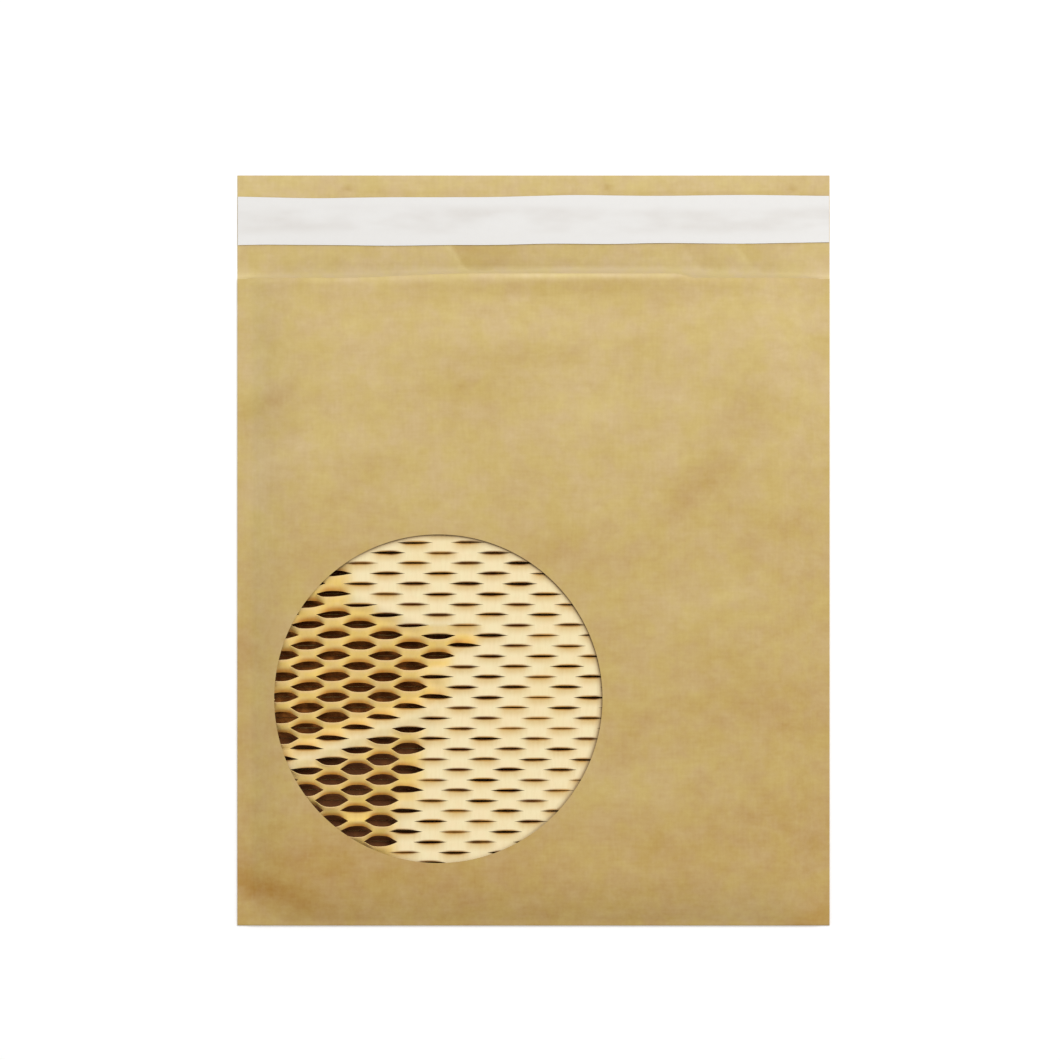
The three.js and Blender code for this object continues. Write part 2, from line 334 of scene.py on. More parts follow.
# Creases of the flap: two ends, height and width in millimetres
FLAP_CREASES = [
    (-32, 118.5, -25, 108, 0.14, 1.3),
    (58, 119, 68, 108, 0.1, 1.4),
    (79, 119, 89, 108, 0.1, 1.6),
]

# Rows of points along the front panel's edge, in millimetres from it
CURL_ROWS = (8.0, 6.4, 5.0, 3.9, 3.0, 2.3, 1.7, 1.2, 0.7, 0.3, 0.0)


def table_value(table, place):
    """The value of a table of places and values at a place between them"""
    for (low, first), (high, second) in zip(table, table[1:]):
        if place <= high:
            return mix(first, second, clamp((place - low) / (high - low)))
    return table[-1][1]


def kraft_tone_and_shading(x, y, z):
    """Kraft tone, painted shade and light included. A point is on the front panel if it lies above the back
    panel and flap.
    """
    tone = table_value(TONE_AND_SHADE_ALONG_Y, y / MM)
    tone += sum(soft_spot(x, y, spot) for spot in SHADING_SPOTS)
    if z > SEAM_LEVEL or (z > PINCHED_SEAM_LEVEL and y < MOUTH_Y):
        return tone + sum(soft_spot(x, y, spot) for spot in FRONT_SHADING_SPOTS)
    tone += sum(soft_spot(x, y, spot) for spot in FLAP_LIGHT_AND_SPECK_SPOTS)
    return tone + sum(facet_shading(x, y, facet) for facet in FLAP_FACET_SHADES)


def facet_shading(x, y, facet):
    """How a crease's painted facet shade on its right and painted ridge highlight beside it change the tone
    at a point
    """
    first_x, first_y, last_x, last_y, strength, reach = facet
    run = Vector((last_x - first_x, last_y - first_y)).normalized()
    right = -(x / MM - first_x) * run.y + (y / MM - first_y) * run.x
    fade = math.exp(-((max(right, 0) / reach) ** 3)) * smooth(right, -0.9, 0.9)
    ridge = -0.5 * math.exp(-(((right + 1.5) / 1.3) ** 2))
    return strength * (fade + ridge) * smooth(y, *FACET_FOOT_FADE) * smooth(y, *FACET_TOP_FADE)


def front_relief(x, y):
    """Shallow dents of the front panel, none of them at its seams"""
    rise = pillow(SEAM_X - abs(x), RISE_RUN) * pillow(y - FOLD_Y, RISE_RUN)
    relief = sum(soft_spot(x, y, spot) for spot in RELIEF_SPOTS)
    return min(relief, 0) * DENT_DEPTH * rise


def mouth_curl(x, y):
    """The front panel rises a little at the mouth and its edge bends down, most of all in the middle"""
    reach = (MOUTH_Y - y) / MM
    middle = math.exp(-(((x / MM - CURL_MIDDLE) / CURL_SPREAD) ** 2))
    up = smooth(CURL_LENGTH - reach, 0, CURL_LENGTH - 1)
    over = smooth(EDGE_LENGTH - reach, 0, EDGE_LENGTH)
    return (CURL_RISE * up - EDGE_DROP * over) * mix(CURL_AT_SIDES, 1, middle) * MM


def lip_reach(x, y):
    """How much farther over the flap the middle of the front panel's edge reaches"""
    middle = smooth(x, *LIP_LEFT_FADE) * smooth(x, *LIP_RIGHT_FADE)
    return LIP_REACH * middle * smooth(y, MOUTH_Y - LIP_LENGTH, MOUTH_Y)


def crease_height(x, y, crease):
    """Height of a straight crease's ridge at a point"""
    first_x, first_y, last_x, last_y, height, width = crease
    start = Vector((first_x, first_y))
    run = Vector((last_x, last_y)) - start
    place = Vector((x / MM, y / MM)) - start
    share = clamp(place.dot(run) / run.length_squared)
    distance = (place - share * run).length
    return height * MM * math.exp(-((distance / width) ** 2))


def flap_relief(x, y):
    """The open flap lies on the surface with a slight wave and a few creases"""
    wave = 0.5 + 0.5 * noise.noise(Vector((x * 18, y * 26, 3.1)))
    lift = FLAP_WAVE * wave * smooth(y, MOUTH_Y, MOUTH_Y + FLAP_WAVE_RUN)
    return lift + sum(crease_height(x, y, crease) for crease in FLAP_CREASES)


# How finely the kraft sheet is divided
SHEET_COLUMNS = 144
FRONT_ROWS = 138
FOLD_STEPS = 12
BACK_STEPS = 48
FLAP_STEPS = 30
WINDOW_SIDES = 256


def front_row_y(number):
    """Rows of the front panel, closer together where its edge curls"""
    plain_rows = FRONT_ROWS - (len(CURL_ROWS) - 1)
    if number >= plain_rows:
        return MOUTH_Y - CURL_ROWS[number - plain_rows] * MM
    return mix(FOLD_Y, MOUTH_Y - CURL_ROWS[0] * MM, number / plain_rows)


def select_row(sheet, is_on_row):
    """Selects the edges of a sheet whose two ends lie on a row, in edit mode"""
    bpy.ops.mesh.select_all(action="DESELECT")
    bpy.ops.mesh.select_mode(type="EDGE")
    shape = bmesh.from_edit_mesh(sheet.data)
    for edge in shape.edges:
        if all(is_on_row(point.co) for point in edge.verts):
            edge.select_set(True)
    bmesh.update_edit_mesh(sheet.data)


def kraft_sheet():
    """Front panel, fold at the foot, back panel and flap in one sheet, with the window cut in the front"""
    start_height = SEAM_LEVEL + SHEET_STEP
    sheet = paper_grid(
        "kraft_sheet", SHEET_COLUMNS, FRONT_ROWS, -HALF_WIDTH, HALF_WIDTH, FOLD_Y, MOUTH_Y, start_height
    )
    for point in sheet.data.vertices:
        number = round((point.co.y - FOLD_Y) / (MOUTH_Y - FOLD_Y) * FRONT_ROWS)
        point.co.y = front_row_y(number)

    bpy.ops.object.mode_set(mode="EDIT")
    select_row(sheet, lambda place: abs(place.y - FOLD_Y) < NEAR)
    fold_middle = (0, FOLD_Y, FOLD_RADIUS)
    bpy.ops.mesh.spin(steps=FOLD_STEPS, angle=-math.pi, center=fold_middle, axis=(1, 0, 0))
    for steps, length in ((BACK_STEPS, MOUTH_Y - FOLD_Y), (FLAP_STEPS, FLAP_EDGE_Y - MOUTH_Y)):
        for _ in range(steps):
            bpy.ops.mesh.extrude_region_move(TRANSFORM_OT_translate={"value": (0, length / steps, 0)})
    bpy.ops.mesh.select_all(action="SELECT")
    bpy.ops.mesh.remove_doubles(threshold=NEAR)
    bpy.ops.mesh.normals_make_consistent(inside=False)
    bpy.ops.object.mode_set(mode="OBJECT")
    face_up(sheet, Vector((0, 0, start_height)))

    for point in sheet.data.vertices:
        x, y, z = point.co
        if z > start_height - NEAR:
            point.co.z = front_underside(x, y) + SHEET_STEP + front_relief(x, y) + mouth_curl(x, y)
            point.co.y += lip_reach(x, y)
        elif y > MOUTH_Y:
            point.co.z = flap_relief(x, y)
        seam = smooth(abs(x), *PINCH_FADE)
        if y < MOUTH_Y + NEAR:
            point.co.z *= 1 - SEAM_PINCH * seam
    give_thickness(sheet, PAPER_THICKNESS)

    deselect_all()
    bpy.ops.mesh.primitive_cylinder_add(
        vertices=WINDOW_SIDES,
        radius=WINDOW_RADIUS,
        depth=PUNCH_LENGTH,
        location=(WINDOW.x, WINDOW.y, PUNCH_MIDDLE),
    )
    punch = bpy.context.object
    apply_modifier(sheet, "BOOLEAN", operation="DIFFERENCE", object=punch, solver="EXACT")
    bpy.data.objects.remove(punch)
    # The tone holds painted shade and light as well as the paper's own tone.
    tones = [kraft_tone_and_shading(*point.co) for point in sheet.data.vertices]
    write_attribute(sheet, "tone", tones)
    smooth_shading(sheet, 40)
    return sheet


# The stretched part of the padding, measured from the window's middle in millimetres. Its right edge slopes
# and bulges: by how much, at what height and how tall. A shut, pale band crosses it.
STRETCH_RIGHT_SLOPE = 0.3
STRETCH_RIGHT_BULGES = ((8, 24.5, 5), (-4, 9.5, 3.5))
STRETCH_TOP = 24
STRETCH_TOP_SLOPE = -0.42
STRETCH_TOP_FLAT = 27.2
STRETCH_LEFT_COLUMN = -36
STRETCH_BLEND = 3
COLOUR_BLEND = 4.5
DROP_BLEND = 6
BAND_RISE = -2.4
BAND_SLOPE = 0.39
BAND_HALF_WIDTH = 3
SLIT_REACH = 4 * MM

# How far a lip moves when its slit is shut and when it is open. The open ones gape more towards the foot.
CLOSED_HALF_GAP = 0.37 * MM
CLOSED_LIFT = 0.3 * MM
CALM_GAP_SHARE = 0.3
OPEN_HALF_GAP_TOP = 1.52 * MM
OPEN_HALF_GAP_FOOT = 2.35 * MM
OPEN_GAP_TOP_Y = -30 * MM
OPEN_GAP_RUN = 50 * MM
OPEN_LIFT = 1.7 * MM
OPEN_DROP = OPEN_LIFT * 1.1

# The outline of a parted lip: how long its tips are, how round its shoulders and its height at the peak
TIP_SHARE = 0.6
SHOULDER_POWER = 5
PEAK_HEIGHT = 1.015

# How fast the painted highlight and painted shades fade from a lip to the next row of slits
LIP_HIGHLIGHT_FADE = 1.8
SHADE_FADE = 1.05
TAN_SHADOW_FADE = 1.1


def stretch_depth(x, y):
    """How far inside the stretched part a point is, in millimetres"""
    across = (x - WINDOW.x) / MM
    up = (y - WINDOW.y) / MM
    bulges = (far * math.exp(-(((up - level) / tall) ** 2)) for far, level, tall in STRETCH_RIGHT_BULGES)
    right_edge = STRETCH_RIGHT_SLOPE * up + sum(bulges)
    top_edge = max(STRETCH_TOP + STRETCH_TOP_SLOPE * across, STRETCH_TOP_FLAT)
    from_top = max(top_edge - up, STRETCH_LEFT_COLUMN - across)
    from_band = abs(up - BAND_RISE - BAND_SLOPE * across) - BAND_HALF_WIDTH
    return min(right_edge - across, from_top, from_band)


def stretch(x, y, blend=STRETCH_BLEND):
    """0 where the padding is shut and 1 where it is stretched"""
    return smooth(stretch_depth(x, y), STRETCH_BLEND - blend, STRETCH_BLEND)


def column_shift(u, y, half_width):
    """The columns of slits lean, more to the right, and not at the sheet's sides"""
    lean = COLUMN_LEAN + LEAN_GROWTH * (u - LEAN_START)
    fade = 1 - (u / half_width) ** 4
    return fade * (MIDDLE_OFFSET + lean * (y - WINDOW.y))


def row_number(y):
    """Slit rows are numbered down from the first that the window shows"""
    return (FIRST_ROW_Y - y) / ROW_SPACING


def slit_at(u, row):
    """The number of the slit in a row that a point is nearest to, and its place from the slit's middle"""
    start = FIRST_MIDDLE + (row % 2) * PITCH / 2
    number = round((u - start) / PITCH)
    return number, u - start - number * PITCH


def slit_habit(row, number):
    """What makes one slit differ from the next: its gaps, its lift and where each lip's peak sits"""
    chance = random.Random(row * 1009 + number * 31 + 7)
    return {
        "gap": {1: chance.uniform(0.85, 1.12), -1: chance.uniform(0.85, 1.12)},
        "closed_gap": {1: chance.uniform(0.2, 1.5), -1: chance.uniform(0.4, 1.7)},
        "lift": chance.uniform(0.85, 1.1),
        "peak": {1: chance.uniform(-0.7, 0.9) * MM, -1: chance.uniform(-0.9, 0.7) * MM},
    }


def opening_share(place, peak):
    """How far a lip has parted at a place along its slit: 1 in the middle, 0 at the tips"""
    if place > peak:
        share = (place - peak) / (SLIT_HALF - peak)
    else:
        share = (peak - place) / (SLIT_HALF + peak)
    rest = clamp(1 - share) / TIP_SHARE
    return PEAK_HEIGHT * rest / (1 + rest ** SHOULDER_POWER) ** (1 / SHOULDER_POWER)


def lip_openness(x, land_y):
    """How stretched the land beside a slit's lip is, and how much more so to its right than to its left"""
    left, middle, right = (stretch(x + step * SLIT_REACH, land_y) for step in (-1, 0, 1))
    return (left + 2 * middle + right) / 4, right - left


def lip_move(u, row, side, half_width, calm):
    """How far a lip moves along Y and Z, how stretched its land is and how far it has parted there

    Side is 1 on a slit's upper lip and -1 on its lower lip. Calm padding keeps its slits nearly closed."""
    number, place = slit_at(u, row)
    if abs(place) > SLIT_HALF - TIP_MARGIN:
        return 0, 0, 0, 0
    row_y = FIRST_ROW_Y - row * ROW_SPACING
    middle_u = u - place
    x = middle_u + column_shift(middle_u, row_y, half_width)
    openness, skew = (0, 0) if calm else lip_openness(x, row_y + side * ROW_SPACING / 2)
    if (row, number, side) == PALE_TONGUE:
        openness *= TONGUE_OPENNESS
    habit = slit_habit(row, number)
    pull = smooth(-x, *PULL_LEFT_FADE) * smooth(row_y, *PULL_FOOT_FADE)
    parted = opening_share(place, habit["peak"][side] + skew * PEAK_SKEW + side * pull * PEAK_PULL)
    foot_share = clamp((OPEN_GAP_TOP_Y - row_y) / OPEN_GAP_RUN)
    open_gap = mix(OPEN_HALF_GAP_TOP, OPEN_HALF_GAP_FOOT, foot_share) * habit["gap"][side]
    closed_gap = CLOSED_HALF_GAP * habit["closed_gap"][side] * (CALM_GAP_SHARE if calm else 1)
    gap = mix(closed_gap, open_gap, openness)
    lift = mix(CLOSED_LIFT, -OPEN_LIFT * habit["lift"], openness)
    return side * gap * parted, side * lift * parted, openness, parted


def land_gold_shading(u, land_y, half_width):
    """Painted gold shading of the land between two rows of slits, blended from one slit's place to the next
    """
    level = (u - FIRST_MIDDLE) / (PITCH / 2)
    first = math.floor(level)
    gold_shadings = []
    for number in (first, first + 1):
        middle_u = FIRST_MIDDLE + number * PITCH / 2
        gold_shadings.append(stretch(middle_u + column_shift(middle_u, land_y, half_width), land_y, COLOUR_BLEND))
    return mix(gold_shadings[0], gold_shadings[1], smooth(level - first, 0.05, 0.95))


def gold_shading_at(u, y, upper_side, is_lip, half_width):
    """Painted gold shading of a point's land, or the mean of both lands between two slits of a row"""
    level = row_number(y)
    whole = round(level)
    if abs(level - whole) > ON_ROW:
        return land_gold_shading(u, FIRST_ROW_Y - (math.floor(level) + 0.5) * ROW_SPACING, half_width)
    above = land_gold_shading(u, FIRST_ROW_Y - (whole - 0.5) * ROW_SPACING, half_width)
    below = land_gold_shading(u, FIRST_ROW_Y - (whole + 0.5) * ROW_SPACING, half_width)
    if not is_lip:
        return (above + below) / 2
    return above if upper_side else below


def padding_point(u, y, upper_side, half_width, calm):
    """How far a point of the slit sheet moves along Y and Z, and its painted light and shade in the order of
    TINTS

    Upper_side says that the point belongs to the land above its row of slits."""
    level = row_number(y)
    whole = round(level)
    if abs(level - whole) < ON_ROW:
        side = 1 if upper_side else -1
        move_y, move_z, openness, parted = lip_move(u, whole, side, half_width, calm)
        below = parted * (side < 0)
        above = parted * (side > 0)
        line = parted * (1 - openness)
        return move_y, move_z, (below * openness, above * openness, line, below * (1 - openness))
    upper_row = math.floor(level)
    share = level - upper_row
    top_y, top_z, top_open, top_parted = lip_move(u, upper_row, -1, half_width, calm)
    foot_y, foot_z, foot_open, foot_parted = lip_move(u, upper_row + 1, 1, half_width, calm)
    # Painted highlight fading down from an open slit's raised lip, painted shade growing towards the sunk
    # lip below, and painted shadow fading below a shut slit.
    lip_highlight = top_open * top_parted * clamp(1 - share * LIP_HIGHLIGHT_FADE)
    shade = foot_open * foot_parted * clamp(1 - (1 - share) * SHADE_FADE)
    tan_shadow = (1 - top_open) * top_parted * clamp(1 - share * TAN_SHADOW_FADE)
    return mix(top_y, foot_y, share), mix(top_z, foot_z, share), (lip_highlight, shade, 0, tan_shadow)


def refine_near_window(sheet, reach):
    """Halves the quads that show in the window, and those within a reach of it, in edit mode"""
    bpy.ops.mesh.select_mode(type="FACE")
    bpy.ops.mesh.select_all(action="DESELECT")
    shape = bmesh.from_edit_mesh(sheet.data)
    for face in shape.faces:
        away = face.calc_center_median() - WINDOW
        face.select_set(away.length < WINDOW_RADIUS + reach)
    bmesh.update_edit_mesh(sheet.data)
    bpy.ops.mesh.subdivide(number_cuts=1, ngon=False)


def cut_slits(sheet, foot_y, top_y, half_width):
    """Splits the sheet along its slits, away from its ends and sides, in edit mode"""
    bpy.ops.mesh.select_mode(type="EDGE")
    bpy.ops.mesh.select_all(action="DESELECT")
    shape = bmesh.from_edit_mesh(sheet.data)
    for edge in shape.edges:
        first, last = (point.co for point in edge.verts)
        level = row_number(first.y)
        in_row = abs(level - round(level)) < ON_ROW and abs(first.y - last.y) < NEAR
        inside = foot_y + END_MARGIN < first.y < top_y - END_MARGIN
        if in_row and inside:
            middle = (first.x + last.x) / 2
            place = slit_at(middle, round(level))[1]
            if abs(place) < SLIT_HALF and abs(middle) < half_width - END_MARGIN:
                edge.select_set(True)
    bmesh.update_edit_mesh(sheet.data)
    bpy.ops.mesh.edge_split(type="EDGE")


def reach_of_faces(mesh):
    """How far the faces around each point lie above it: more than 0 on the upper lip of a slit"""
    above = {}
    for face in mesh.polygons:
        for index in face.vertices:
            step = face.center.y - mesh.vertices[index].co.y
            above[index] = above.get(index, 0) + step
    return above


def slit_padding(name, low, high, top_height, calm, fine_reach):
    """A sheet of slit paper between two corners, its slits parted as far as it is stretched

    Top_height gives the highest that it may reach at a point and the room under that. The quads near the
    window are halved as far as fine_reach, unless that is 0."""
    half_width = (high.x - low.x) / 2
    columns = round(2 * half_width / GRID_STEP)
    rows_up = math.floor((high.y - FIRST_ROW_Y) / GRID_ROW)
    rows_down = math.floor((FIRST_ROW_Y - low.y) / GRID_ROW + GRID_ROW_SLACK)
    top_y = FIRST_ROW_Y + rows_up * GRID_ROW
    foot_y = FIRST_ROW_Y - rows_down * GRID_ROW
    sheet = paper_grid(name, columns, rows_up + rows_down, -half_width, half_width, foot_y, top_y, 0)

    bpy.ops.object.mode_set(mode="EDIT")
    if fine_reach:
        refine_near_window(sheet, fine_reach)
    cut_slits(sheet, foot_y, top_y, half_width)
    bpy.ops.object.mode_set(mode="OBJECT")
    face_up(sheet, Vector((0, 0, 0)))

    above = reach_of_faces(sheet.data)
    colours = {kind: [] for kind in ("gold_shading", *TINTS)}
    for point in sheet.data.vertices:
        u, y = point.co.x, point.co.y
        upper_side = above[point.index] > 0
        at_end = not foot_y + END_MARGIN < y < top_y - END_MARGIN or abs(u) > half_width - END_MARGIN
        move_y, move_z, tints = (0, 0, (0, 0, 0, 0))
        if not at_end:
            move_y, move_z, tints = padding_point(u, y, upper_side, half_width, calm)
        x = u + column_shift(u, y, half_width)
        highest, room = top_height(x, y)
        drop = mix(CLOSED_LIFT, OPEN_DROP, 0 if calm else stretch(x, y, DROP_BLEND))
        squeeze = min(1, room / (2 * drop + PADDING_THICKNESS))
        wave = min(0, PADDING_WAVE * noise.noise(Vector((x * 40, y * 40, 1.7))))
        height = highest + wave - (drop - move_z) * squeeze
        point.co = (x, y + move_y, clamp(height, highest - room + PADDING_THICKNESS, highest))
        gold_shading = 0 if calm else gold_shading_at(u, y, upper_side, tints != (0, 0, 0, 0), half_width)
        colours["gold_shading"].append(gold_shading)
        for kind, tint in zip(TINTS, tints):
            colours[kind].append(tint)
    for kind, values in colours.items():
        write_attribute(sheet, kind, values)
    give_thickness(sheet, PADDING_THICKNESS)
    smooth_shading(sheet, 50)
    return sheet


def under_front_panel(x, y):
    """The front padding reaches up to the front panel, over the back padding"""
    highest = front_underside(x, y) - PADDING_DROP + front_relief(x, y)
    return highest, highest - back_high.z - PADDING_GAP


def on_back_panel(x, y):
    """The back padding lies level on the back panel"""
    return back_high.z, BACK_PADDING_ROOM


def thin_strip(name, low, high, height, thickness, wave):
    """A thin strip across the flap, turned a little, with edges that are not quite straight"""
    half_length = (high.x - low.x) / 2
    half_width = (high.y - low.y) / 2 - STRIP_SLANT * half_length
    middle_y = (low.y + high.y) / 2
    foot_y, top_y = middle_y - half_width, middle_y + half_width
    strip = paper_grid(name, STRIP_COLUMNS, STRIP_ROWS, -half_length, half_length, foot_y, top_y, height)
    for point in strip.data.vertices:
        x, y = point.co.x, point.co.y
        across = (y - middle_y) / half_width
        ripple = noise.noise(Vector((x * 30, 3 * across, 9.3)))
        sag = -0.5 * math.exp(-(((x / MM - STRIP_SAG_MIDDLE) / STRIP_SAG_SPREAD) ** 2))
        point.co.y = y + STRIP_SLANT * x + wave * (sag + 0.5 * ripple * abs(across))
        point.co.z = height + STRIP_UNEVENNESS * noise.noise(Vector((x * 45, y * 60, 2.2)))
    give_thickness(strip, thickness)
    smooth_shading(strip, 40)
    return strip


def seam_glue(name, low, high):
    """A thin line of dried glue that holds the front panel's side to the back panel's"""
    line = paper_grid(name, 8, 140, low.x, high.x, low.y, high.y, 0)
    middle_x = (low.x + high.x) / 2
    for point in line.data.vertices:
        x, y = point.co.x, point.co.y
        across = (x - middle_x) / (high.x - low.x) * 2
        squeeze = 0.88 + 0.12 * noise.noise(Vector((7.7, y * 70, across)))
        point.co.x = middle_x + (x - middle_x) * squeeze
        point.co.z = GLUE_HEIGHT - GLUE_SAG * across * across
    give_thickness(line, GLUE_THICKNESS)
    smooth_shading(line, 40)
    return line


# The shade that the window's edge throws on the padding, by distance from the window's middle
RIM_SOFT_FADE = (60.9 * MM, 63.2 * MM)
RIM_CRISP_FADE = (62.3 * MM, WINDOW_RADIUS)


class Finish:
    """A procedural material on the piece's own coordinates and attributes"""

    def __init__(self, name, roughness, gloss):
        self.material = bpy.data.materials.new(name)
        self.material.use_nodes = True
        self.tree = self.material.node_tree
        self.shader = self.tree.nodes["Principled BSDF"]
        self.shader.inputs["Roughness"].default_value = roughness
        self.shader.inputs["Specular IOR Level"].default_value = gloss
        self.place = self.add("ShaderNodeTexCoord").outputs["Object"]

    def add(self, kind, **settings):
        node = self.tree.nodes.new(kind)
        for setting, value in settings.items():
            setattr(node, setting, value)
        return node

    def link(self, source, target):
        self.tree.links.new(source, target)

    def attribute(self, name):
        return self.add("ShaderNodeAttribute", attribute_name=name).outputs["Fac"]

    def stretched_place(self, stretch_by, turn=0):
        mapping = self.add("ShaderNodeMapping")
        mapping.inputs["Rotation"].default_value = (0, 0, math.radians(turn))
        mapping.inputs["Scale"].default_value = stretch_by
        self.link(self.place, mapping.inputs["Vector"])
        return mapping.outputs["Vector"]

    def grain(self, scale, detail=4, rough=0.55, stretch_by=(1, 1, 1), turn=0, distortion=0):
        node = self.add("ShaderNodeTexNoise")
        node.inputs["Scale"].default_value = scale
        node.inputs["Detail"].default_value = detail
        node.inputs["Roughness"].default_value = rough
        node.inputs["Distortion"].default_value = distortion
        self.link(self.stretched_place(stretch_by, turn), node.inputs["Vector"])
        return node.outputs["Fac"]

    def sum_of(self, first, second, weight=1.0, centre=0.5):
        """first + weight * (second - centre)"""
        scaled = self.add("ShaderNodeMath", operation="MULTIPLY_ADD")
        self.link(second, scaled.inputs[0])
        scaled.inputs[1].default_value = weight
        scaled.inputs[2].default_value = -weight * centre
        total = self.add("ShaderNodeMath", operation="ADD")
        self.link(first, total.inputs[0])
        self.link(scaled.outputs[0], total.inputs[1])
        return total.outputs[0]

    def product(self, first, second):
        node = self.add("ShaderNodeMath", operation="MULTIPLY")
        self.link(first, node.inputs[0])
        if isinstance(second, (int, float)):
            node.inputs[1].default_value = second
        else:
            self.link(second, node.inputs[1])
        return node.outputs[0]

    def between(self, value, low, high, to_low=0.0, to_high=1.0):
        node = self.add("ShaderNodeMapRange", interpolation_type="SMOOTHSTEP")
        self.link(value, node.inputs["Value"])
        node.inputs["From Min"].default_value = low
        node.inputs["From Max"].default_value = high
        node.inputs["To Min"].default_value = to_low
        node.inputs["To Max"].default_value = to_high
        return node.outputs["Result"]

    def ramp(self, value, stops):
        node = self.add("ShaderNodeValToRGB")
        elements = node.color_ramp.elements
        while len(elements) < len(stops):
            elements.new(0.5)
        for element, (place, colour) in zip(elements, stops):
            element.position = place
            element.color = (*colour, 1)
        self.link(value, node.inputs["Fac"])
        return node.outputs["Color"]

    def blend(self, share, first, second, kind="MIX"):
        node = self.add("ShaderNodeMix", data_type="RGBA", blend_type=kind)
        if isinstance(share, (int, float)):
            node.inputs["Factor"].default_value = share
        else:
            self.link(share, node.inputs["Factor"])
        for colour, socket in ((first, node.inputs[6]), (second, node.inputs[7])):
            if isinstance(colour, tuple):
                socket.default_value = (*colour, 1)
            else:
                self.link(colour, socket)
        return node.outputs[2]

    def bump(self, height, distance, strength=1.0, before=None):
        node = self.add("ShaderNodeBump")
        node.inputs["Strength"].default_value = strength
        node.inputs["Distance"].default_value = distance
        self.link(height, node.inputs["Height"])
        if before:
            self.link(before, node.inputs["Normal"])
        return node.outputs["Normal"]

    def finish(self, colour, normal):
        self.link(colour, self.shader.inputs["Base Color"])
        self.link(normal, self.shader.inputs["Normal"])
        return self.material


def kraft_finish():
    finish = Finish("kraft_paper", 0.82, 0.15)
    clouds = finish.grain(22, 5, 0.6, (1, 1.7, 1), 25, 0.6)
    mottle = finish.grain(150, 3, 0.6, (1, 1.2, 1))
    specks = finish.grain(520, 3, 0.65)
    along = finish.grain(900, 2, 0.5, (1, 0.12, 1), 4)
    across = finish.grain(900, 2, 0.5, (0.12, 1, 1), -3)
    # The tone attribute brings its painted shade and light into the colour; the noises are the paper's own
    # mottle.
    tone = finish.sum_of(finish.attribute("tone"), clouds, 0.34)
    tone = finish.sum_of(tone, mottle, 0.3)
    tone = finish.sum_of(tone, specks, 0.14)
    tone = finish.sum_of(tone, along, 0.1)
    tone = finish.sum_of(tone, across, 0.1)
    colour = finish.ramp(
        tone,
        [
            (0.0, (0.4, 0.205, 0.045)),
            (0.5, (0.572, 0.415, 0.165)),
            (1.0, (0.75, 0.6, 0.31)),
        ],
    )
    hue = finish.grain(95, 3, 0.6, (1, 1, 1), 40)
    colour = finish.blend(
        finish.between(hue, 0.3, 0.7),
        finish.blend(1.0, colour, (1.0, 0.985, 1.1), "MULTIPLY"),
        finish.blend(1.0, colour, (1.0, 1.01, 0.9), "MULTIPLY"),
    )
    tooth = finish.bump(specks, 0.03 * MM, 0.5)
    normal = finish.bump(finish.grain(70, 4, 0.6), 0.12 * MM, 0.5, tooth)
    return finish.finish(colour, normal)


def window_distance(finish):
    """How far from the window's middle a place is, and how far it lies towards the window's upper right"""
    mapping = finish.add("ShaderNodeMapping")
    mapping.inputs["Location"].default_value = (-WINDOW.x, -WINDOW.y, 0)
    mapping.inputs["Scale"].default_value = (1, 1, 0)
    finish.link(finish.place, mapping.inputs["Vector"])
    away = finish.add("ShaderNodeVectorMath", operation="LENGTH")
    finish.link(mapping.outputs["Vector"], away.inputs[0])
    towards = finish.add("ShaderNodeVectorMath", operation="DOT_PRODUCT")
    finish.link(mapping.outputs["Vector"], towards.inputs[0])
    towards.inputs[1].default_value = (0.8, 0.6, 0)
    return away.outputs["Value"], towards.outputs["Value"]


